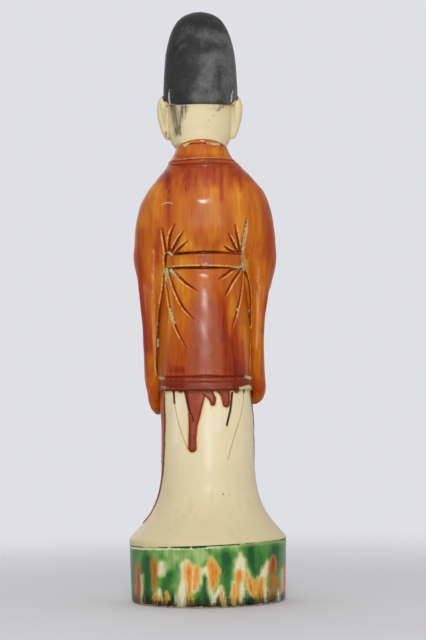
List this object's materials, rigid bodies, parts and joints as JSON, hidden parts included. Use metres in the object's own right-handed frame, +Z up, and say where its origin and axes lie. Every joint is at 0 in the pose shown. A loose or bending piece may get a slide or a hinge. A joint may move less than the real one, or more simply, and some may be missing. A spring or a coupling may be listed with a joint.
{
  "type": "tang tomb attendant figure",
  "caption": "Standing tomb attendant in glazed earthenware, in a tall hat and wide-sleeved robe, on a round drum base.",
  "frame": {"origin": "centre of the flat underside of the drum base", "axes": "+Z up through the hat, -Y the way the face looks, +X the figure's own left"},
  "size_m": [0.173, 0.173, 0.65],
  "materials": {
    "glazed_earthenware": "glossy lead glazes in amber, cream and green over buff clay, with a bare clay head and a matt charcoal hat"
  },
  "bodies": {
    "root": {"figure": "glazed_earthenware"}
  },
  "joints": []
}
